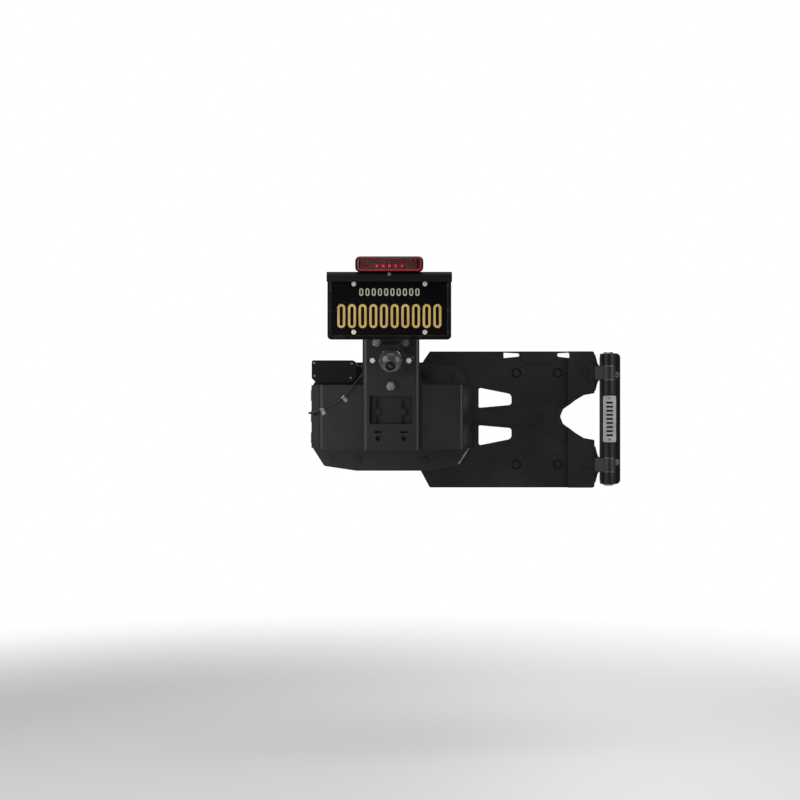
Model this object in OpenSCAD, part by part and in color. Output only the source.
// Spare tire carrier for the rear door of a four-wheel-drive vehicle.
// A heavy hinge on the body side carries a cast door panel. The panel carries a tire mount box,
// a tower that slides up and down on it, and a tube with the licence plate, lights and camera.
// The origin is the centre of the body-side bolt pattern, on the body's own mounting face.
// +X is to the right seen from behind the vehicle, +Y is forward into it, and +Z is up.

/* [Hinge] */
// Distance between the centres of the two hinge arms
arm_pitch = 250; // [220:5:320]
// Height of the knuckle of each hinge arm
arm_h = 36; // [28:1:46]
// Height of the pad that bolts each arm to the panel
arm_pad_h = 100; // [84:2:110]
// Thickness of the arm's pad
arm_pad_t = 12; // [8:1:13]
// Diameter of every knuckle
knuckle_d = 38; // [34:1:44]
// Height of the knuckles at the top and the bottom of the stack
end_knuckle_h = 33; // [24:1:44]
// Diameter of the hinge pins
pin_d = 16; // [12:1:20]
// How far the hinge axis lies to the left of the body bolts
axis_left = 9; // [6:1:14]
// Distance from the body to the hinge axis
axis_out = 42; // [38:1:52]

/* [Body bracket] */
// Width of the foot that bolts to the body
foot_w = 56; // [52:1:70]
// Thickness of the foot
foot_t = 8; // [7:0.5:12]
// Thickness of the gasket under the foot
gasket_t = 1.5; // [1:0.5:3]
// Diameter of the bolts in the body
body_bolt_d = 10; // [8:1:10]
// Distance between the body bolts across the foot
body_bolt_dx = 34; // [32:1:36]
// Distance between the body bolts along the foot
body_bolt_dz = 240; // [230:2:250]
// How far the body bolts reach behind the mounting face
body_bolt_reach = 25; // [15:1:35]
// Height of the nameplate
nameplate_h = 126; // [100:2:140]
// Width of the nameplate
nameplate_w = 35; // [30:1:36]

/* [Panel] */
// Thickness of the panel's skin
panel_t = 6; // [4:0.5:8]
// Distance from the door to the front of the panel's skin
panel_out = 22; // [20:0.5:26]
// Distance from the mounting plane to the door skin that the panel bolts to
door_gap = 2; // [1:0.5:4]
// How far the panel steps out towards its hinge end
ear_step = 13; // [12.5:0.5:16]
// Where the step in the panel is, from the origin
step_x = 112; // [108:1:118]
// Diameter of the door bolts and the base bolts
door_bolt_d = 10; // [8:1:10]
// Distance between the door bolts across the panel
door_bolt_dx = 113; // [100:1:120]
// Distance between the door bolts up the panel
door_bolt_dz = 250; // [230:2:270]
// Where the middle of the door bolts is, from the origin
door_bolt_x = 201.5; // [196:0.5:206]
// Diameter of the wells that the door bolts sit in
well_d = 26; // [24:1:32]
// Length of each window in the panel
window_w = 90; // [70:2:100]
// Width of the opening between the ears, at its mouth
vee_h = 127; // [110:2:140]

/* [Tire mount] */
// Distance from the body bolts to the middle of the wheel
wheel_x = 600; // [560:5:720]
// Height of the tire mount's middle above the middle of the hinge
mount_z = 6; // [0:1:12]
// Width of the front of the wing box
wing_w = 380; // [340:5:460]
// Height of the wing box
wing_h = 171; // [168:1:205]
// Distance from the body's mounting face to the front of the wing box
wing_out = 140; // [125:1:168]
// How far each side of the wing box slants out to the base plate
wing_slant = 28; // [15:1:35]
// Sheet thickness of the wing box
wing_t = 4; // [3:0.5:5]
// Height of the base plate
base_h = 296; // [290:2:340]
// Thickness of the base plate
base_t = 8; // [6:0.5:10]
// Distance between the base bolts across the plate
base_bolt_dx = 184; // [178:2:190]
// Distance between the base bolts up the plate
base_bolt_dz = 238; // [228:2:246]
// Diameter of the screws near the base plate's sides
flange_screw_d = 8; // [6:1:8]
// Distance between those screws across the plate
flange_screw_dx = 330; // [320:2:336]
// Distance between those screws up the plate
flange_screw_dz = 228; // [220:2:232]
// How far the door bolts and base bolts reach into the door
door_bolt_reach = 18; // [12:1:30]

/* [Tower] */
// Width of the tower
tower_w = 150; // [146:1:170]
// Thickness of the tower's steel
tower_t = 6; // [4:0.5:8]
// Distance from the front of the wing box to the wheel pad on the tower
tower_rise = 38; // [34:1:50]
// How far the tower reaches below the middle of the hinge
tower_low = 81; // [78:1:90]
// How far the tower reaches above the middle of the hinge
tower_high = 222; // [216:1:260]
// Width of the window in the tower
tower_window_w = 114; // [96:1:118]
// Height of the window in the tower
tower_window_h = 75; // [60:1:80]
// How far the tower moves up or down from its middle setting
height_travel = 18; // [10:1:19]
// Diameter of the bolts that clamp the tower
height_bolt_d = 10; // [8:1:10]
// Distance between the clamp bolts across the tower
height_bolt_dx = 68; // [60:1:72]
// Distance between the upper and the lower clamp bolts
height_bolt_dz = 70; // [66:1:72]

/* [Wheel] */
// Height of the wheel's middle above the middle of the hinge
wheel_z = 151; // [146:1:156]
// Diameter of the circle that the wheel studs lie on
stud_pcd = 127; // [114.3:0.1:139.7]
// Diameter of the wheel studs
stud_d = 14; // [12:1:16]
// How far the wheel studs reach out of the tower
stud_reach = 47; // [40:1:60]
// Width of the lug nuts across their flats
nut_flats = 21; // [19:1:22]

/* [Camera and plate bracket] */
// Outer diameter of the tube that passes through the wheel's centre
tube_d = 64; // [58:1:66]
// Wall of that tube
tube_t = 3; // [2:0.5:4]
// Length of the tube in front of the tower
tube_l = 140; // [130:1:200]
// Distance of each bracket bolt from the tube's axis
bracket_bolt_x = 46; // [45:0.5:50]
// Diameter of the bracket bolts
bracket_bolt_d = 8; // [6:1:8]
// Thickness of the plate bracket's steel
bracket_t = 5; // [3:0.5:6]
// Width of the bracket's stem
stem_w = 50; // [40:1:52]
// Radius of the camera's dome
dome_r = 31; // [28:0.5:32]

/* [Licence plate and lights] */
// Width of the licence plate
plate_w = 304.8; // [300:0.1:305]
// Height of the licence plate
plate_h = 152.4; // [150:0.1:153]
// Height of the plate's middle above the middle of the hinge
plate_z = 281; // [276:1:300]
// Distance from the mounting plane to the front of the licence plate
plate_out = 369; // [366:1:380]
// Distance between the plate's screws across
plate_screw_dx = 177.8; // [177:0.1:178]
// Distance between the plate's screws up
plate_screw_dz = 120.6; // [118:0.1:121]
// Width of the brake light's lens
brake_w = 160; // [120:1:200]
// Height of the brake light's lens
brake_h = 34; // [28:1:40]
// Height of the brake light above the middle of the hinge
brake_z = 390; // [389:1:410]

/* [Wiring] */
// Diameter of the free harness cable
cable_d = 5; // [4:0.5:6]
// Length of the junction box
junction_l = 122; // [110:1:126]
// Height of the junction box
junction_h = 64; // [56:1:66]
// Depth of the junction box with its lid
junction_depth = 60; // [44:1:62]

/* [Hidden] */
$fn = 48;

// Small round parts
running_gap = 0.05;
slide_gap = 0.3;
washer_gap = 0.1;
washer_thick = 2;
hole_gap = 0.5;
press_gap = 0.02;
thread_depth = 0.4;

// Hinge stack, worked out from the arms
axis_x = -axis_left;
axis_y = -axis_out;
knuckle_gap = 1.5;
washer_t = knuckle_gap - 2 * washer_gap;
inner_z = arm_pitch / 2 - arm_h / 2 - knuckle_gap;
outer_z = arm_pitch / 2 + arm_h / 2 + knuckle_gap;
stack_z = outer_z + end_knuckle_h;
pin_hold = 30;
bush_t = 2;
pin_head_h = 4;
foot_h = 2 * stack_z + 4;
foot_front = -gasket_t - foot_t;
nameplate_t = 2;
nameplate_pad_y = axis_y - knuckle_d / 2 - 1.6;

// Panel, worked out from the arms and the tire mount
panel_h = arm_pitch + arm_pad_h + 18;
panel_drop = 4;
skin_y = -panel_out;
ear_y = skin_y - ear_step;
door_y = -door_gap;
ear_x = axis_x - knuckle_d / 2 - 18;
ear_back_y = ear_y + panel_t;
base_edge_x = -wheel_x + wing_w / 2 + wing_slant;
panel_left = -wheel_x + base_bolt_dx / 2 - 25;
rim_t = 6;
rib_t = 5;
boss_d = 40;
window_x = base_edge_x + 21;
arm_screw_d = 8;
arm_screws_at = [[ear_x - 13, 18], [ear_x - 13, -18], [ear_x - 28, 0]];

// Tire mount
mount_x = -wheel_x;
wing_y = -wing_out;
base_front = skin_y - base_t;
bend_r = 12;
height_bolt_zs = [mount_z + 14, mount_z + 14 - height_bolt_dz];
washer_d = 2.2 * height_bolt_d;

// Tower
pad_y = wing_y - tower_rise;
web_back = pad_y + tower_t;
tower_back = wing_y - slide_gap;
slide_t = 8;
slide_y = tower_back - slide_t;
upper_slot = [mount_z - 21, mount_z + 48];
slot_w = height_bolt_d + 1;
lower_slot_half = height_travel + height_bolt_d / 2 + 1;
lower_slot = [height_bolt_zs[1] - lower_slot_half, height_bolt_zs[1] + lower_slot_half];
window_low = mount_z - 18;

// Camera and plate
eye_y = pad_y - tube_l;
eye_r = 41;
plate_x = mount_x - 3;
plate_y = -plate_out;
backing_t = 3;
sheet_t = 1;
holder_y = plate_y + sheet_t + backing_t;
stem_back = holder_y + bracket_t;
brake_screw_d = 5;
brake_screw_xs = [mount_x - 16, mount_x + 16];
hood_screw_z = plate_z + plate_h / 2 + 7.5;
stem_top = brake_z + brake_h / 2 - 1;
hood_low = plate_z + plate_h / 2 - 11;
hood_high = brake_z - brake_h / 2 - 2;
figure_count = 10;
figure_pitch = 26.7;
heading_pitch = 15.6;
led_count = 5;
led_pitch = 16;
housing_back = holder_y;
housing_depth = 22;
lens_front = housing_back - housing_depth;

// Junction box
junction_x = mount_x - wing_w / 2 - 24;
junction_z = mount_z + wing_h / 2 + 34.5;
junction_back = base_front - 10;
junction_front = base_front - junction_depth;
junction_right = junction_x + junction_l;
junction_wall = 3;
lid_t = 8;

// The free cable's points, with X from the tire mount's middle, and its route, which runs from the
// gland on the junction box to the grommet in the wing box
cable_points = [
    [-88, -70, 141], [-82, -71, 141], [-76, -76, 138], [-73, -85, 132], [-74, -97, 125],
    [-79, -111, 117], [-86, -129, 108], [-92, -141, 100], [-99, -147, 91], [-111, -146, 76],
    [-127, -144, 59], [-145, -144, 45], [-164, -144, 35], [-183, -144, 26], [-196, -143, 21],
    [-207, -138, 18], [-215, -128, 17], [-219, -115, 16], [-219, -102, 16], [-215, -92, 16],
    [-208, -87, 16]
];
cable_route = [for (p = cable_points) p + [mount_x, 0, 0]];
cable_end = cable_route[len(cable_route) - 1];
gland_tip = cable_route[0];
clips_at = [10, 13];
clip_rise = cable_d / 2 + 1.5;
grommet_flange = 4.4;
grommet_in = 54.1;
grommet_slope = wing_slant / (base_front - wing_y);
grommet_seat = [mount_x - wing_w / 2 - grommet_in * grommet_slope, wing_y + grommet_in, cable_end.z];
cable_sides = 10;
cable_step = 2.6 * cable_d;

function unit(v) = v / norm(v);

// Points of a round corner at b, between its neighbours a and c
function corner(a, b, c, r, n = 5) =
    let (
        u = unit(a - b),
        v = unit(c - b),
        half = acos(max(-1, min(1, u * v))) / 2
    )
    r < 0.01 || half > 89.5 ? [b] :
    let (
        reach = r / tan(half),
        m = b + unit(u + v) * r / sin(half),
        p = b + u * reach - m,
        q = b + v * reach - m,
        start = atan2(p.y, p.x),
        raw = atan2(q.y, q.x) - start,
        turn = raw > 180 ? raw - 360 : raw < -180 ? raw + 360 : raw
    )
    [for (i = [0 : n]) m + r * [cos(start + turn * i / n), sin(start + turn * i / n)]];

// An outline with each corner rounded; r is one radius or one for each point
function rounded(points, r) =
    let (count = len(points))
    [for (i = [0 : count - 1])
        each corner(points[(i + count - 1) % count], points[i], points[(i + 1) % count],
                    is_list(r) ? r[i] : r)];

// An anticlockwise outline moved inward by d
function inset(points, d) =
    let (count = len(points))
    [for (i = [0 : count - 1])
        let (
            e = unit(points[i] - points[(i + count - 1) % count]),
            f = unit(points[(i + 1) % count] - points[i]),
            ne = [-e.y, e.x],
            nf = [-f.y, f.x]
        )
        points[i] + d * (ne + nf) / (1 + ne * nf)];

function box_outline(w, h) = [[-w / 2, -h / 2], [w / 2, -h / 2], [w / 2, h / 2], [-w / 2, h / 2]];
function mirrored_y(points) = [for (i = [len(points) - 1 : -1 : 0]) [points[i].x, -points[i].y]];

// A flat piece facing the viewer, from back towards -Y by t; its children are drawn in X and Z
module slab(back, t) {
    translate([0, back, 0])
        rotate([90, 0, 0])
            linear_extrude(t)
                children();
}

// A round bar along Y, from back towards -Y by l
module rod(x, z, back, l, d, fn = 48) {
    translate([x, back, z])
        rotate([90, 0, 0])
            cylinder(h = l, d = d, $fn = fn);
}

// A ring along Y, such as a washer
module ring(x, z, back, t, outer, inner) {
    difference() {
        rod(x, z, back, t, outer);
        rod(x, z, back + 1, t + 2, inner);
    }
}

// A bar along X, whose section is drawn in Y and Z
module beam(x0, x1) {
    translate([x0, 0, 0])
        rotate([90, 0, 90])
            linear_extrude(x1 - x0)
                children();
}

// A part whose section is drawn in X and Y, from z0 up to z1
module post(z0, z1) {
    translate([0, 0, z0])
        linear_extrude(z1 - z0)
            children();
}

// A hexagon bolt: its head stands on seat and its shank ends at tip
module hex_bolt(x, z, seat, tip, d) {
    head_h = 0.64 * d;
    rod(x, z, seat, head_h, 1.85 * d, 6);
    rod(x, z, tip, tip - seat, d);
}

// A round-headed screw with a hexagon socket
module button_screw(x, z, seat, tip, d) {
    head_h = 0.55 * d;
    difference() {
        union() {
            rod(x, z, seat, head_h, 1.75 * d);
            rod(x, z, tip, tip - seat, d);
        }
        rod(x, z, seat - head_h / 2, head_h, 0.6 * d, 6);
    }
}

// A bolt whose thread begins where it leaves the part and enters the vehicle
module vehicle_bolt(x, z, seat, leaves, d) {
    hex_bolt(x, z, seat, leaves, d);
    rod(x, z, door_bolt_reach, door_bolt_reach - leaves, d - 2 * thread_depth);
}

function corners_of(dx, dz) =
    [for (sz = [1, -1]) for (sx = [-1, 1]) [sx * dx / 2, sz * dz / 2]];

// ---- Body side ----

module knuckle(z0, z1) {
    post(z0, z1) {
        translate([axis_x, axis_y])
            circle(d = knuckle_d);
        translate([axis_x - knuckle_d / 2, axis_y])
            square([knuckle_d, foot_front - axis_y + 1]);
    }
}

module pin_bore(z0, z1) {
    translate([axis_x, axis_y, z0])
        cylinder(h = z1 - z0, d = pin_d);
}

module body_bracket() {
    color("#262729")
    difference() {
        union() {
            slab(-gasket_t, foot_t)
                polygon(rounded(box_outline(foot_w, foot_h), 12));
            knuckle(-inner_z, inner_z);
            knuckle(outer_z, stack_z);
            knuckle(-stack_z, -outer_z);
            slab(axis_y, axis_y - nameplate_pad_y)
                translate([axis_x, 0])
                    polygon(rounded(box_outline(nameplate_w - 5, nameplate_h + 6), 4));
        }
        pin_bore(outer_z - 1, stack_z + 1);
        pin_bore(inner_z - pin_hold, inner_z + 1);
        pin_bore(-stack_z - 1, -outer_z + 1);
        pin_bore(-inner_z - 1, -inner_z + pin_hold);
        for (p = corners_of(body_bolt_dx, body_bolt_dz)) {
            rod(p.x, p.y, 0, foot_t + gasket_t + 1, body_bolt_d);
            translate([p.x, foot_front - 0.01, p.y])
                rotate([-90, 0, 0])
                    cylinder(h = 5, d1 = 1.8 * body_bolt_d, d2 = body_bolt_d);
        }
        for (z = [-nameplate_h / 2 + 7, nameplate_h / 2 - 7])
            rod(axis_x, z, nameplate_pad_y + 8, 9, 3.2);
    }
}

module body_gasket() {
    color("#1a1a1b")
    difference() {
        slab(0, gasket_t)
            polygon(rounded(box_outline(foot_w - 2, foot_h - 2), 11));
        for (p = corners_of(body_bolt_dx, body_bolt_dz))
            rod(p.x, p.y, 1, gasket_t + 2, body_bolt_d + hole_gap);
    }
}

module body_bolts() {
    color("#3a3b3d")
    for (p = corners_of(body_bolt_dx, body_bolt_dz))
        difference() {
            union() {
                translate([p.x, foot_front + 0.1, p.y])
                    rotate([-90, 0, 0])
                        cylinder(h = 4.8, d1 = 1.74 * body_bolt_d, d2 = 0.96 * body_bolt_d);
                rod(p.x, p.y, 0, -foot_front - 1, body_bolt_d - 2 * press_gap);
                rod(p.x, p.y, body_bolt_reach, body_bolt_reach, body_bolt_d - 2 * thread_depth);
            }
            rod(p.x, p.y, foot_front + 3.5, 4, 0.6 * body_bolt_d, 6);
        }
}

module nameplate() {
    bar_count = 9;
    bar_pitch = 11;
    color("#c9cbce") {
        difference() {
            slab(nameplate_pad_y, nameplate_t)
                translate([axis_x, 0])
                    polygon(rounded(box_outline(nameplate_w, nameplate_h), 4));
            for (z = [-nameplate_h / 2 + 7, nameplate_h / 2 - 7])
                rod(axis_x, z, nameplate_pad_y + 1, nameplate_t + 2, 3.4);
        }
        for (i = [0 : bar_count - 1])
            slab(nameplate_pad_y - nameplate_t, 0.5)
                translate([axis_x, (i - (bar_count - 1) / 2) * bar_pitch])
                    polygon(rounded(box_outline(18, 5), 1.5));
    }
}

module nameplate_rivets() {
    color("#8d8f92")
    for (z = [-nameplate_h / 2 + 7, nameplate_h / 2 - 7]) {
        rod(axis_x, z, nameplate_pad_y - nameplate_t, 1.2, 6);
        rod(axis_x, z, nameplate_pad_y + 6, 6 + nameplate_t, 3.1);
    }
}

module hinge_pin(side) {
    mirror([0, 0, side < 0 ? 1 : 0]) {
        translate([axis_x, axis_y, inner_z - pin_hold])
            cylinder(h = stack_z - inner_z + pin_hold, d = pin_d);
        translate([axis_x, axis_y, stack_z])
            cylinder(h = pin_head_h, d1 = pin_d + 12, d2 = pin_d + 8);
    }
}

module upper_hinge_pin() {
    color("#4b4c4f")
        hinge_pin(1);
}

module lower_hinge_pin() {
    color("#4b4c4f")
        hinge_pin(-1);
}

module thrust_washers() {
    faces = [inner_z, outer_z - washer_t, -inner_z - washer_t, -outer_z];
    color("#b08d4a")
    for (z = faces)
        translate([axis_x, axis_y, z])
            difference() {
                cylinder(h = washer_t, d = knuckle_d - 4);
                translate([0, 0, -1])
                    cylinder(h = washer_t + 2, d = pin_d + 0.4);
            }
}

// ---- Door panel and hinge arms ----

panel_points = [
    [panel_left, mount_z - base_bolt_dz / 2 - 4],
    [panel_left + 38, -panel_h / 2 - panel_drop],
    [ear_x, -panel_h / 2 - panel_drop],
    [ear_x, mount_z - vee_h / 2],
    [-75, mount_z - vee_h / 2 + 5],
    [-98, mount_z - vee_h / 2 + 19],
    [-131, mount_z - 19],
    [-138, mount_z],
    [-131, mount_z + 19],
    [-98, mount_z + vee_h / 2 - 19],
    [-75, mount_z + vee_h / 2 - 5],
    [ear_x, mount_z + vee_h / 2],
    [ear_x, panel_h / 2],
    [panel_left + 38, panel_h / 2],
    [panel_left, mount_z + base_bolt_dz / 2 + 2]
];
panel_radii = [4, 4, 7, 3, 14, 30, 10, 8, 10, 30, 14, 3, 7, 4, 4];

// The window above the middle arm, seen from the mount's middle line
window_points = [
    [window_x, 24], [window_x + window_w, 32], [window_x + window_w, 61], [window_x, 79]
];
window_radii = [3, 8, 12, 5];

// The slots in the top rim
rim_slot_left = [[-293, panel_h / 2 - 18], [-250, panel_h / 2 - 14], [-250, panel_h / 2 - 5],
                 [-293, panel_h / 2 - 3]];
rim_slot_right = [[-146, panel_h / 2 - 14], [-113, panel_h / 2 - 18], [-113, panel_h / 2 - 3],
                  [-146, panel_h / 2 - 5]];

module panel_holes() {
    for (side = [1, -1])
        translate([0, mount_z])
            polygon(rounded(side > 0 ? window_points : mirrored_y(window_points),
                            side > 0 ? window_radii : [5, 12, 8, 3]));
    polygon(rounded(rim_slot_left, [1, 4, 4, 1]));
    polygon(rounded(rim_slot_right, [4, 1, 1, 4]));
}

module panel_skin() {
    difference() {
        union() {
            // The main skin, the rim behind it, and the stepped skin at the ears
            slab(skin_y + panel_t, panel_t)
                intersection() {
                    polygon(rounded(panel_points, panel_radii));
                    translate([-1000, -500])
                        square([1000 - step_x, 1000]);
                }
            slab(ear_back_y, panel_t)
                intersection() {
                    polygon(rounded(panel_points, panel_radii));
                    translate([-step_x - panel_t, -500])
                        square([step_x + panel_t, 1000]);
                }
            slab(skin_y + panel_t, ear_step)
                intersection() {
                    polygon(rounded(panel_points, panel_radii));
                    translate([-step_x - panel_t, -500])
                        square([panel_t, 1000]);
                }
            slab(door_y - 2, panel_out - door_gap - panel_t - 2 + 0.01)
                intersection() {
                    difference() {
                        polygon(rounded(panel_points, panel_radii));
                        polygon(inset(panel_points, rim_t));
                    }
                    translate([-1000, -500])
                        square([1000 - step_x, 1000]);
                }
            // The raised spine, which splits towards the two ears
            slab(skin_y, 2.5)
                translate([0, mount_z])
                    polygon(rounded(spine_points, spine_radii));
            slab(skin_y, 3)
                polygon(rounded([[-236, panel_h / 2 - 32], [-158, panel_h / 2 - 32],
                                 [-146, panel_h / 2], [-248, panel_h / 2]], [6, 6, 1, 1]));
        }
        slab(0, 60)
            panel_holes();
    }
}

spine_low = [
    [base_edge_x + 3, -15], [window_x + window_w - 6, -23], [-216, -23], [-178, -40],
    [-step_x - panel_t, -71], [-step_x - panel_t, -46], [-146, -26], [-158, 0]
];
spine_points = concat(spine_low, [for (i = [len(spine_low) - 2 : -1 : 0])
    [spine_low[i].x, -spine_low[i].y]]);
spine_radii = [1, 6, 12, 12, 1, 1, 8, 6, 8, 1, 1, 12, 12, 6, 1];

door_bolts_at = [for (p = corners_of(door_bolt_dx, door_bolt_dz)) [p.x - door_bolt_x, p.y]];
// The place behind the junction box has no screw
flange_screws_at = [for (p = corners_of(flange_screw_dx, flange_screw_dz))
    if (p.x > 0 || p.y < 0) [p.x + mount_x, p.y + mount_z]];
base_bolts_at = [for (p = corners_of(base_bolt_dx, base_bolt_dz)) [p.x + mount_x, p.y + mount_z]];

module panel_bosses() {
    for (p = door_bolts_at)
        rod(p.x, p.y, door_y, panel_out - door_gap - panel_t + 1, boss_d);
    for (p = concat(base_bolts_at, flange_screws_at))
        if (p.x > mount_x)
            rod(p.x, p.y, door_y, panel_out - door_gap - panel_t + 1, boss_d - 10);
}

// Ribs behind the skin, between the bosses and the rim
module panel_ribs() {
    depth = panel_out - door_gap - panel_t - 4;
    for (side = [1, -1])
        slab(door_y - 4, depth + 0.01)
            polygon([[panel_left + 30, side * 124], [-step_x - 2, side * 124],
                     [-step_x - 2, side * 124 + rib_t], [panel_left + 30, side * 124 + rib_t]]);
    slab(door_y - 4, depth + 0.01)
        polygon([[window_x + window_w + 7, -panel_h / 2 + 4], [window_x + window_w + 12, -panel_h / 2 + 4],
                 [window_x + window_w + 12, panel_h / 2 - 22], [window_x + window_w + 7, panel_h / 2 - 22]]);
}

module hinge_panel() {
    color("#232426")
    difference() {
        union() {
            panel_skin();
            panel_bosses();
            panel_ribs();
        }
        for (p = door_bolts_at) {
            rod(p.x, p.y, 5, 60, door_bolt_d + hole_gap);
            rod(p.x, p.y, skin_y + panel_t, 20, well_d);
        }
        for (p = base_bolts_at)
            rod(p.x, p.y, 5, 60, door_bolt_d + hole_gap);
        for (p = flange_screws_at)
            rod(p.x, p.y, door_y - 4, 60, flange_screw_d);
        for (side = [1, -1])
            for (p = arm_screws_at)
                rod(p.x, side * arm_pitch / 2 + p.y, ear_back_y + 5, 30, arm_screw_d + hole_gap);
    }
}

module hinge_arm(side) {
    z = side * arm_pitch / 2;
    pad_back = ear_back_y + arm_pad_t;
    pad_left = -step_x + 2;
    neck_x = axis_x - knuckle_d / 2 - 1;
    flare_x = ear_x + 7;
    half_pad = arm_pad_h / 2;
    half_arm = arm_h / 2;
    outline = [
        [pad_left, -half_pad], [ear_x + 3, -half_pad], [flare_x + 4, -half_arm - 2],
        [neck_x, -half_arm], [neck_x, half_arm], [flare_x + 4, half_arm + 2],
        [ear_x + 3, half_pad], [pad_left, half_pad]
    ];
    profile = [
        [ear_x - 20, pad_back], [ear_x - 20, ear_back_y], [ear_x + 0.6, ear_back_y],
        [ear_x + 0.6, ear_y - 1.5], [axis_x - 15, axis_y - 11.5], [axis_x, axis_y],
        [axis_x + 5, axis_y + 18.3], [ear_x + 14, pad_back]
    ];
    difference() {
        union() {
            slab(pad_back, arm_pad_t)
                translate([0, z])
                    polygon(rounded(outline, [5, 3, 14, 0, 0, 14, 3, 5]));
            post(z - half_arm, z + half_arm) {
                polygon(profile);
                translate([axis_x, axis_y])
                    circle(d = knuckle_d);
            }
        }
        translate([axis_x, axis_y, z - half_arm - 1])
            cylinder(h = arm_h + 2, d = pin_d + 2 * bush_t);
        for (p = arm_screws_at)
            rod(p.x, z + p.y, pad_back + 1, arm_pad_t + 10, arm_screw_d);
    }
}

module upper_hinge_arm() {
    color("#333437")
        hinge_arm(1);
}

module lower_hinge_arm() {
    color("#333437")
        hinge_arm(-1);
}

module hinge_bushings() {
    color("#a8843f")
    for (side = [1, -1])
        translate([axis_x, axis_y, side * arm_pitch / 2 - arm_h / 2])
            difference() {
                cylinder(h = arm_h, d = pin_d + 2 * bush_t - 2 * press_gap);
                translate([0, 0, -1])
                    cylinder(h = arm_h + 2, d = pin_d + 2 * running_gap);
            }
}

module arm_screws() {
    color("#1c1c1e")
    for (side = [1, -1])
        for (p = arm_screws_at)
            button_screw(p.x, side * arm_pitch / 2 + p.y, ear_y, ear_back_y + arm_pad_t - 1,
                         arm_screw_d - 2 * press_gap);
}

module door_bolts() {
    seat = skin_y + panel_t - washer_thick;
    color("#2b2c2e")
    for (p = door_bolts_at)
        vehicle_bolt(p.x, p.y, seat, door_y, door_bolt_d);
}

module door_washers() {
    color("#3c3d40")
    for (p = door_bolts_at)
        ring(p.x, p.y, skin_y + panel_t, washer_thick, 2.1 * door_bolt_d, door_bolt_d + 2 * press_gap);
}

// ---- Tire mount on the door ----

base_half = [
    [0, -base_h / 2], [wing_w / 2 - 95, -base_h / 2], [wing_w / 2 - 7, -base_h / 2 + 13],
    [wing_w / 2 + wing_slant, -base_h / 2 + 68], [wing_w / 2 + wing_slant, base_h / 2 - 68],
    [wing_w / 2 - 7, base_h / 2 - 13], [wing_w / 2 - 95, base_h / 2], [0, base_h / 2]
];
base_radii = [0, 6, 10, 10, 10, 10, 6, 0];

module base_plate() {
    color("#27282a")
    difference() {
        slab(skin_y, base_t)
            translate([mount_x, mount_z]) {
                polygon(rounded(base_half, base_radii));
                mirror([1, 0])
                    polygon(rounded(base_half, base_radii));
            }
        for (p = base_bolts_at)
            rod(p.x, p.y, 0, 60, door_bolt_d + hole_gap);
        for (p = flange_screws_at)
            rod(p.x, p.y, 0, 60, flange_screw_d + hole_gap);
    }
}

module base_bolts() {
    color("#2b2c2e")
    for (p = base_bolts_at)
        vehicle_bolt(p.x, p.y, base_front - washer_thick, door_y, door_bolt_d);
}

module base_washers() {
    color("#3c3d40")
    for (p = base_bolts_at)
        ring(p.x, p.y, base_front, washer_thick, 2.1 * door_bolt_d, door_bolt_d + 2 * press_gap);
}

module base_spacers() {
    color("#2b2c2e")
    for (p = base_bolts_at)
        if (p.x < mount_x)
            ring(p.x, p.y, door_y, panel_out - door_gap, boss_d - 10, door_bolt_d + hole_gap);
}

// The right pair holds the base plate to the panel, and the left one holds the door pad
module flange_screws() {
    color("#2b2c2e")
    for (p = flange_screws_at)
        button_screw(p.x, p.y, base_front, door_y - 4, flange_screw_d);
}

module door_pad() {
    color("#19191a")
    for (p = flange_screws_at)
        if (p.x < mount_x)
            difference() {
                rod(p.x, p.y, door_y, panel_out - door_gap, boss_d - 10);
                rod(p.x, p.y, door_y - 4, panel_out, flange_screw_d);
            }
}

module wing_box() {
    depth = base_front - wing_y;
    front = wing_w / 2;
    back = front + wing_slant;
    outer = [[-front, 0], [front, 0], [back, depth], [-back, depth]];
    inner = [[-front + wing_t + 1, wing_t], [front - wing_t - 1, wing_t],
             [back - wing_t, depth + 1], [-back + wing_t, depth + 1]];
    color("#2a2b2d")
    difference() {
        translate([mount_x, wing_y])
            post(mount_z - wing_h / 2, mount_z + wing_h / 2)
                polygon(rounded(outer, [bend_r, bend_r, 0, 0]));
        translate([mount_x, wing_y])
            post(mount_z - wing_h / 2 + wing_t, mount_z + wing_h / 2 - wing_t)
                polygon(rounded(inner, [bend_r - wing_t, bend_r - wing_t, 0, 0]));
        for (z = height_bolt_zs)
            for (sx = [-1, 1])
                rod(mount_x + sx * height_bolt_dx / 2, z, wing_y + 10, 20, height_bolt_d + hole_gap);
        at_grommet()
            cylinder(h = 14, d = cable_d + 4.5);
    }
}

height_bolts_at = [for (z = height_bolt_zs) for (sx = [-1, 1]) [mount_x + sx * height_bolt_dx / 2, z]];
height_seat = slide_y - slide_gap - washer_thick;

module height_bolts() {
    color("#6d6f73")
    for (p = height_bolts_at)
        hex_bolt(p.x, p.y, height_seat, wing_y + wing_t + 12, height_bolt_d);
}

module height_washers() {
    color("#77797d")
    for (p = height_bolts_at)
        ring(p.x, p.y, slide_y - slide_gap, washer_thick, washer_d, height_bolt_d + 2 * press_gap);
}

module height_nuts() {
    color("#6d6f73")
    for (p = height_bolts_at)
        difference() {
            rod(p.x, p.y, wing_y + wing_t + 8, 8, 1.85 * height_bolt_d, 6);
            rod(p.x, p.y, wing_y + wing_t + 9, 12, height_bolt_d + 2 * press_gap);
        }
}

// ---- Wiring on the door side ----

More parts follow.
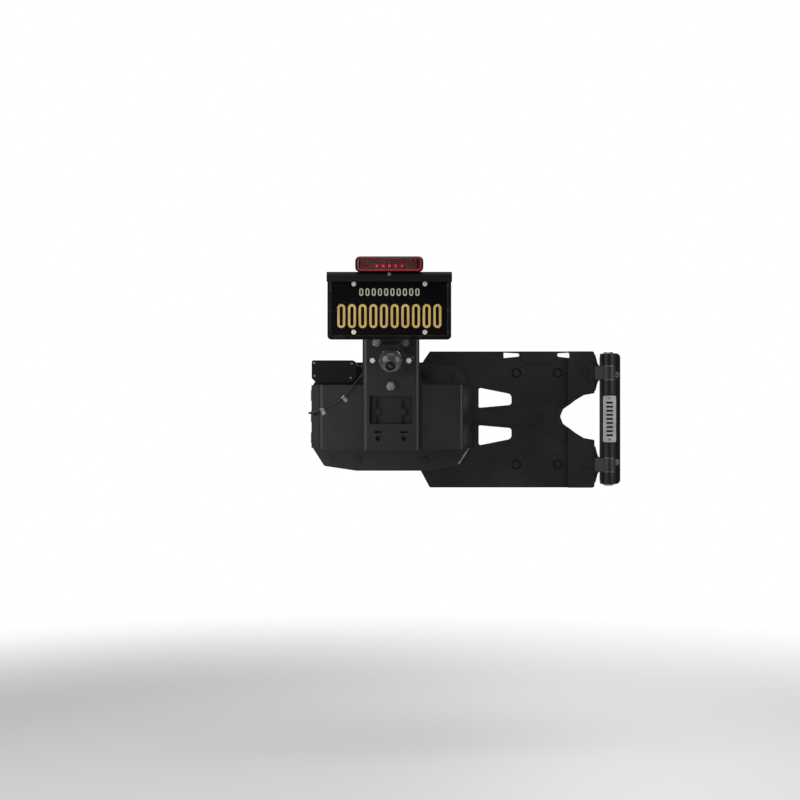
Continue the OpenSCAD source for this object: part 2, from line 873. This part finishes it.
junction_outline = [
    [0, -junction_h / 2 + 16], [16, -junction_h / 2], [junction_l, -junction_h / 2],
    [junction_l, junction_h / 2], [0, junction_h / 2]
];
junction_radii = [6, 6, 26, 14, 5];
lid_screws_at = [[6.5, junction_h / 2 - 7], [8, -junction_h / 2 + 22],
                 [junction_l - 14, junction_h / 2 - 9], [junction_l - 17, -junction_h / 2 + 17]];

module junction_box() {
    color("#1b1b1d")
    difference() {
        union() {
            slab(junction_back, junction_back - junction_front - lid_t)
                translate([junction_x, junction_z])
                    polygon(rounded(junction_outline, junction_radii));
            slab(base_front, base_front - junction_back + 0.01)
                translate([junction_x + 76, junction_z])
                    polygon(rounded(box_outline(66, 36), 6));
        }
        difference() {
            slab(junction_back - junction_wall, junction_depth)
                translate([junction_x, junction_z])
                    polygon(rounded(inset(junction_outline, junction_wall), 5));
            for (p = lid_screws_at)
                rod(junction_x + p.x, junction_z + p.y, junction_back, junction_depth, 9);
        }
        for (p = lid_screws_at)
            rod(junction_x + p.x, junction_z + p.y, junction_front + lid_t + 12, 30, 3.4);
        translate([junction_right - 20, gland_tip.y, gland_tip.z])
            rotate([0, 90, 0])
                cylinder(h = 40, d = cable_d + 5);
    }
}

module junction_lid() {
    color("#1f1f21")
    difference() {
        union() {
            slab(junction_front + lid_t, lid_t - 3)
                translate([junction_x, junction_z])
                    polygon(rounded(junction_outline, junction_radii));
            slab(junction_front + 3, 3)
                translate([junction_x, junction_z])
                    polygon(rounded(inset(junction_outline, 3), [5, 5, 22, 11, 4]));
        }
        for (p = lid_screws_at) {
            rod(junction_x + p.x, junction_z + p.y, junction_front + lid_t + 1, 20, 4);
            rod(junction_x + p.x, junction_z + p.y, junction_front + 4.5, 8, 8);
        }
    }
}

module junction_screws() {
    color("#55575a")
    for (p = lid_screws_at)
        button_screw(junction_x + p.x, junction_z + p.y, junction_front + 4.5,
                     junction_front + lid_t + 11, 3.3);
}

module terminal_block() {
    ways = 6;
    pitch = 11;
    color("#d8d4c6")
    difference() {
        translate([junction_x + 28, junction_back - junction_wall - 16, junction_z - 11])
            cube([ways * pitch, 16, 22]);
        for (i = [0 : ways - 1])
            rod(junction_x + 28 + (i + 0.5) * pitch, junction_z, junction_back - junction_wall - 8, 10, 6);
    }
}

module cable_gland() {
    color("#151516")
    difference() {
        translate([junction_right - 6, gland_tip.y, gland_tip.z])
            rotate([0, 90, 0]) {
                cylinder(h = 6, d = cable_d + 4.9);
                translate([0, 0, 6])
                    cylinder(h = gland_tip.x - junction_right, d1 = cable_d + 7, d2 = cable_d + 3);
            }
        translate([junction_right - 7, gland_tip.y, gland_tip.z])
            rotate([0, 90, 0])
                cylinder(h = 7 + gland_tip.x - junction_right - 2, d = cable_d);
    }
}

module cable_clips() {
    clip_l = 10;
    clip_d = 2 * clip_rise;
    tab_h = 11;
    color("#8f9194")
        for (i = clips_at) {
            p = [cable_route[i].x, wing_y - clip_rise, cable_route[i].z];
            along = cable_route[i + 1] - cable_route[i - 1];
            translate(p)
                rotate([0, -atan2(along.z, along.x), 0])
                    difference() {
                        union() {
                            rotate([0, 90, 0])
                                cylinder(h = clip_l, d = clip_d, center = true);
                            translate([-clip_l / 2, 0, -clip_d / 2])
                                cube([clip_l, clip_rise, clip_d + tab_h]);
                        }
                        rotate([0, 90, 0])
                            cylinder(h = clip_l + 2, d = cable_d, center = true);
                        translate([-clip_l, -clip_d, clip_d / 2])
                            cube([2 * clip_l, clip_d + clip_rise - 1.6, 2 * tab_h]);
                    }
            translate([p.x, wing_y - 1.6, p.z])
                rotate([0, -atan2(along.z, along.x), 0])
                    translate([0, 0, clip_d / 2 + tab_h / 2])
                        rotate([90, 0, 0])
                            cylinder(h = 2.2, d = 6.5);
        }
}

// Turns its children to the hole in the wing box's slanted side, from the flange's face inward
module at_grommet() {
    translate(grommet_seat)
        rotate([0, 0, atan(grommet_slope)])
            rotate([0, 90, 0])
                translate([0, 0, -grommet_flange])
                    children();
}

module cable_grommet() {
    color("#151516")
        at_grommet()
            difference() {
                union() {
                    cylinder(h = 12, d = cable_d + 4.4);
                    cylinder(h = grommet_flange, d = cable_d + 9);
                }
                translate([0, 0, 1])
                    cylinder(h = 20, d = cable_d);
            }
}

// Where the route is at a share t of the stretch after point i
function route_point(i, t) =
    let (
        last = len(cable_route) - 1,
        a = cable_route[max(i - 1, 0)],
        b = cable_route[i],
        c = cable_route[min(i + 1, last)],
        d = cable_route[min(i + 2, last)]
    )
    0.5 * (2 * b + (c - a) * t + (2 * a - 5 * b + 4 * c - d) * t * t
           + (3 * b - a - 3 * c + d) * t * t * t);

function route_rings() = [
    for (i = [0 : len(cable_route) - 2])
        let (parts = max(1, round(norm(cable_route[i + 1] - cable_route[i]) / cable_step)))
        for (k = [0 : parts - 1]) route_point(i, k / parts),
    cable_route[len(cable_route) - 1]
];

module harness_cable() {
    rings = route_rings();
    last = len(rings) - 1;
    points = [for (i = [0 : last])
        let (
            along = unit(rings[min(i + 1, last)] - rings[max(i - 1, 0)]),
            side = unit(cross(along, [0.1, 0.2, 1])),
            up = cross(side, along)
        )
        for (k = [0 : cable_sides - 1])
            let (angle = 360 * k / cable_sides)
            rings[i] + cable_d / 2 * (cos(angle) * side + sin(angle) * up)];
    walls = [for (i = [0 : last - 1]) for (k = [0 : cable_sides - 1])
        let (n = (k + 1) % cable_sides, a = i * cable_sides, b = a + cable_sides)
        [a + k, a + n, b + n, b + k]];
    caps = [[for (k = [cable_sides - 1 : -1 : 0]) k],
            [for (k = [0 : cable_sides - 1]) last * cable_sides + k]];
    color("#101011")
        polyhedron(points, concat(walls, caps));
}

// ---- Tower ----

module tower() {
    half = tower_w / 2;
    depth = tower_back - pad_y;
    channel = [
        [-half, depth], [-half, 0], [half, 0], [half, depth],
        [half - tower_t, depth], [half - tower_t, tower_t], [-half + tower_t, tower_t],
        [-half + tower_t, depth]
    ];
    color("#2c2d2f")
    difference() {
        translate([mount_x, pad_y])
            post(-tower_low, tower_high)
                polygon(rounded(channel, [0, bend_r, bend_r, 0, 0, bend_r - tower_t, bend_r - tower_t, 0]));
        slab(web_back + 1, tower_t + 2)
            translate([mount_x, window_low + tower_window_h / 2])
                polygon(rounded(box_outline(tower_window_w, tower_window_h), 4));
        rod(mount_x, wheel_z, web_back + 1, tower_t + 2, tube_d);
        for (p = stud_points)
            rod(p.x, p.y, web_back + 1, tower_t + 2, stud_d + 2 * press_gap);
        for (sx = [-1, 1]) {
            slab(web_back + 1, tower_t + 2)
                translate([mount_x + sx * height_bolt_dx / 2, window_low - 21])
                    polygon(rounded(box_outline(20, 5), 2));
            rod(mount_x + sx * height_bolt_dx / 2, height_bolt_zs[1], web_back + 1, tower_t + 2, 13);
        }
    }
}

// Three of the wheel's five stud places: both upper ones and the lowest
stud_points = [for (a = [54, 126, 270])
    [mount_x + stud_pcd / 2 * cos(a), wheel_z + stud_pcd / 2 * sin(a)]];

module slide_plate() {
    color("#1f2022")
    difference() {
        slab(tower_back, slide_t)
            translate([mount_x - tower_w / 2 + tower_t, -tower_low + 2])
                square([tower_w - 2 * tower_t, window_low + tower_window_h + tower_low + 6]);
        for (sx = [-1, 1])
            for (span = [upper_slot, lower_slot]) {
                x = mount_x + sx * height_bolt_dx / 2;
                rod(x, span[0] + slot_w / 2, 0, 400, slot_w);
                rod(x, span[1] - slot_w / 2, 0, 400, slot_w);
                translate([x - slot_w / 2, -300, span[0] + slot_w / 2])
                    cube([slot_w, 300, span[1] - span[0] - slot_w]);
            }
    }
}

stud_head_t = 6;

module wheel_studs() {
    color("#9da0a4")
    for (p = stud_points) {
        rod(p.x, p.y, web_back + stud_head_t, stud_head_t, stud_d + 8);
        rod(p.x, p.y, web_back, tower_t + stud_reach, stud_d);
    }
}

module lug_nuts() {
    across = nut_flats / cos(30);
    color("#d3d5d8")
    for (p = stud_points)
        difference() {
            union() {
                rod(p.x, p.y, pad_y - 8, 24, across, 6);
                translate([p.x, pad_y, p.y])
                    rotate([90, 0, 0])
                        cylinder(h = 8, d1 = stud_d + 5, d2 = nut_flats + 1);
            }
            rod(p.x, p.y, pad_y + 1, 60, stud_d + 2 * press_gap);
        }
}

// ---- Camera tube and plate bracket ----

bar_h = 22;
bar_t = 8;

module camera_tube() {
    color("#242527")
    difference() {
        union() {
            rod(mount_x, wheel_z, web_back, tower_t + tube_l, tube_d);
            rod(mount_x, wheel_z, web_back + 4, 4, tube_d + 26);
        }
        rod(mount_x, wheel_z, 0, 600, tube_d - 2 * tube_t);
        translate([mount_x - tube_d, eye_y - 1, wheel_z - bar_h / 2])
            cube([2 * tube_d, bar_t + 1, bar_h]);
    }
}

module clamp_bar() {
    color("#2f3032")
    difference() {
        slab(eye_y + bar_t, bar_t)
            translate([mount_x, wheel_z])
                polygon(rounded(box_outline(2 * bracket_bolt_x + 24, bar_h - 0.2), 6));
        for (sx = [-1, 1])
            rod(mount_x + sx * bracket_bolt_x, wheel_z, eye_y + bar_t + 1, bar_t + 2, bracket_bolt_d);
        rod(mount_x, wheel_z, eye_y + bar_t + 1, bar_t + 2, 40);
    }
}

eye_hole_d = 54;

module plate_bracket() {
    low = wheel_z + eye_r - 12;
    bend_low = low + 12;
    bend_high = bend_low + 36;
    stem = [
        [eye_y, low], [eye_y, bend_low + 1], [stem_back, bend_high + 2], [stem_back, stem_top],
        [holder_y, stem_top], [holder_y, bend_high - 2],
        [eye_y - bracket_t, bend_low - 1], [eye_y - bracket_t, low]
    ];
    color("#28292b")
    difference() {
        union() {
            slab(eye_y, bracket_t) {
                translate([mount_x, wheel_z])
                    circle(r = eye_r, $fn = 64);
                for (sx = [-1, 1])
                    translate([mount_x + sx * bracket_bolt_x, wheel_z])
                        circle(r = 13);
                translate([mount_x, wheel_z])
                    square([2 * bracket_bolt_x, 26], center = true);
            }
            beam(mount_x - stem_w / 2, mount_x + stem_w / 2)
                polygon(rounded(stem, [0, 4, 6, 0, 0, 4, 6, 0]));
        }
        rod(mount_x, wheel_z, eye_y + 1, 20, eye_hole_d);
        for (sx = [-1, 1])
            rod(mount_x + sx * bracket_bolt_x, wheel_z, eye_y + 1, 20, bracket_bolt_d + hole_gap);
        for (x = brake_screw_xs)
            rod(x, brake_z + 6, stem_back + 1, bracket_t + 2, brake_screw_d + hole_gap);
        rod(plate_x, hood_screw_z, stem_back + 1, bracket_t + 2, 4.9);
    }
}

module bracket_bolts() {
    color("#d6d2c2")
    for (sx = [-1, 1])
        hex_bolt(mount_x + sx * bracket_bolt_x, wheel_z, eye_y - bracket_t, eye_y + bar_t,
                 bracket_bolt_d - 2 * press_gap);
}

dome_back = eye_y - bracket_t;
dome_flat = 4;
lens_tilt = 18;
lens_drop = 9;

// Turns its children to the camera's own axis: along -Y and a little down
module along_lens(out) {
    translate([mount_x, dome_back - dome_flat, wheel_z - lens_drop])
        rotate([90 + lens_tilt, 0, 0])
            translate([0, 0, out])
                children();
}

module camera_dome() {
    color("#2a2b2e")
    difference() {
        union() {
            rod(mount_x, wheel_z, dome_back, dome_flat, 2 * dome_r);
            translate([mount_x, dome_back - dome_flat, wheel_z])
                intersection() {
                    sphere(r = dome_r);
                    translate([-dome_r - 1, -dome_r, -dome_r - 1])
                        cube([2 * dome_r + 2, dome_r, 2 * dome_r + 2]);
                }
            rod(mount_x, wheel_z, eye_y, bracket_t, eye_hole_d - 2 * running_gap);
        }
        rod(mount_x, wheel_z, eye_y + 1, bracket_t + 7, 36);
        along_lens(-10)
            cylinder(h = 60, d = 22);
        along_lens(19)
            cylinder(h = 30, d1 = 23, d2 = 56);
    }
}

module camera_barrel() {
    color("#0f0f10")
        along_lens(-6)
            cylinder(h = 21, d = 21.4);
}

module camera_bezel() {
    color("#161617")
    along_lens(15)
        difference() {
            cylinder(h = 4, d = 21.4);
            translate([0, 0, -1])
                cylinder(h = 6, d = 15);
        }
}

module camera_lens() {
    color("#3b4656")
    along_lens(15)
        intersection() {
            cylinder(h = 6, d = 14.8);
            translate([0, 0, -9])
                sphere(r = 13);
        }
}

// ---- Licence plate ----

plate_screws_at = [for (p = corners_of(plate_screw_dx, plate_screw_dz)) [p.x + plate_x, p.y + plate_z]];

module plate_backing() {
    color("#1e1f20")
    difference() {
        slab(holder_y, backing_t)
            translate([plate_x, plate_z])
                polygon(rounded(box_outline(plate_w + 5, plate_h + 5), 10));
        for (p = plate_screws_at)
            rod(p.x, p.y, holder_y + 1, backing_t + 2, 5);
    }
}

module licence_plate() {
    color("#16171a")
    difference() {
        slab(plate_y + sheet_t, sheet_t)
            translate([plate_x, plate_z])
                polygon(rounded(box_outline(plate_w, plate_h), 9));
        for (p = plate_screws_at)
            rod(p.x, p.y, plate_y + 2, 4, 7);
    }
}

// An upright outline with half-round ends
module pill(w, h) {
    for (side = [-1, 1])
        translate([0, side * (h - w) / 2])
            circle(d = w);
    square([w, h - w], center = true);
}

// Plain rounded rings in a row stand for the plate's figures
module figure_row(count, pitch, w, h, stroke, z) {
    for (i = [0 : count - 1])
        slab(plate_y, 0.9)
            translate([plate_x + (i - (count - 1) / 2) * pitch, z])
                difference() {
                    pill(w, h);
                    pill(w - 2 * stroke, h - 2 * stroke);
                }
}

module plate_figures() {
    color("#d6b04c")
        figure_row(figure_count, figure_pitch, 20, 60, 6, plate_z - 20);
}

module plate_heading() {
    color("#d9d6cc")
        figure_row(figure_count, heading_pitch, 10, 19, 2.8, plate_z + 40);
}

module plate_screws() {
    color("#c8cacd")
    for (p = plate_screws_at) {
        rod(p.x, p.y, plate_y, 2.6, 12);
        rod(p.x, p.y, holder_y + 6, holder_y + 6 - plate_y, 4.9);
    }
}

module plate_hood() {
    back = holder_y;
    front = plate_y - 14;
    wall = 3.5;
    section = [
        [back, hood_high], [back, hood_high - wall], [front + wall, hood_high - wall],
        [front + wall, hood_low], [front, hood_low], [front, hood_high - 7], [front + 6, hood_high]
    ];
    color("#1a1a1c")
    difference() {
        beam(plate_x - plate_w / 2 - 4, plate_x + plate_w / 2 + 4)
            polygon(section);
        rod(plate_x, hood_screw_z, front + wall + 1, wall + 2, 5);
    }
    color("#1a1a1c")
        ring(plate_x, hood_screw_z, back, back - front - wall, 9, 5);
}

module plate_lamp() {
    front = plate_y - 14 + 3.5;
    color("#e6e4da")
        for (side = [-1, 1])
            translate([plate_x + side * 36 - 22, front, hood_high - 3.5 - 6])
                cube([44, plate_y - front - 1, 6]);
}

module hood_screw() {
    color("#9a9da1")
        button_screw(plate_x, hood_screw_z, plate_y - 14, stem_back, 4.9);
}

// ---- Third brake light ----

module brake_light_housing() {
    w = brake_w + 10;
    h = brake_h + 4;
    color("#141415")
    difference() {
        slab(housing_back, housing_back - lens_front - 3)
            translate([plate_x, brake_z])
                polygon(rounded(box_outline(w, h), 12));
        slab(housing_back - 4, 40)
            translate([plate_x, brake_z])
                polygon(rounded(box_outline(brake_w - 4, brake_h - 4), 8));
        for (x = brake_screw_xs)
            rod(x, brake_z + 6, housing_back + 1, 8, brake_screw_d + 2 * press_gap);
    }
}

module brake_light_board() {
    color("#20452c")
        slab(housing_back - 6, 1.6)
            translate([plate_x, brake_z])
                polygon(rounded(box_outline(brake_w - 12, brake_h - 10), 3));
}

module brake_light_leds() {
    color("#ff6a55")
    for (i = [0 : led_count - 1])
        rod(plate_x + (i - (led_count - 1) / 2) * led_pitch, brake_z - 4, housing_back - 7.6, 5, 6);
}

module brake_light_lens() {
    color("#7a1b22")
    slab(lens_front + 3, 3)
        translate([plate_x, brake_z])
            polygon(rounded(box_outline(brake_w, brake_h), 10));
}

module brake_light_screws() {
    head_h = 3.5;
    color("#8f9194")
    for (x = brake_screw_xs) {
        rod(x, brake_z + 6, stem_back + head_h, head_h, 9, 6);
        rod(x, brake_z + 6, stem_back, bracket_t + 4, brake_screw_d);
    }
}

body_bracket();
body_gasket();
body_bolts();
nameplate();
nameplate_rivets();
upper_hinge_pin();
lower_hinge_pin();
thrust_washers();
hinge_panel();
upper_hinge_arm();
lower_hinge_arm();
hinge_bushings();
arm_screws();
door_bolts();
door_washers();
base_plate();
base_bolts();
base_washers();
base_spacers();
flange_screws();
door_pad();
wing_box();
height_bolts();
height_washers();
height_nuts();
junction_box();
junction_lid();
junction_screws();
terminal_block();
cable_gland();
cable_clips();
cable_grommet();
harness_cable();
tower();
slide_plate();
wheel_studs();
lug_nuts();
camera_tube();
clamp_bar();
plate_bracket();
bracket_bolts();
camera_dome();
camera_barrel();
camera_bezel();
camera_lens();
plate_backing();
licence_plate();
plate_figures();
plate_heading();
plate_screws();
plate_hood();
plate_lamp();
hood_screw();
brake_light_housing();
brake_light_board();
brake_light_leds();
brake_light_lens();
brake_light_screws();
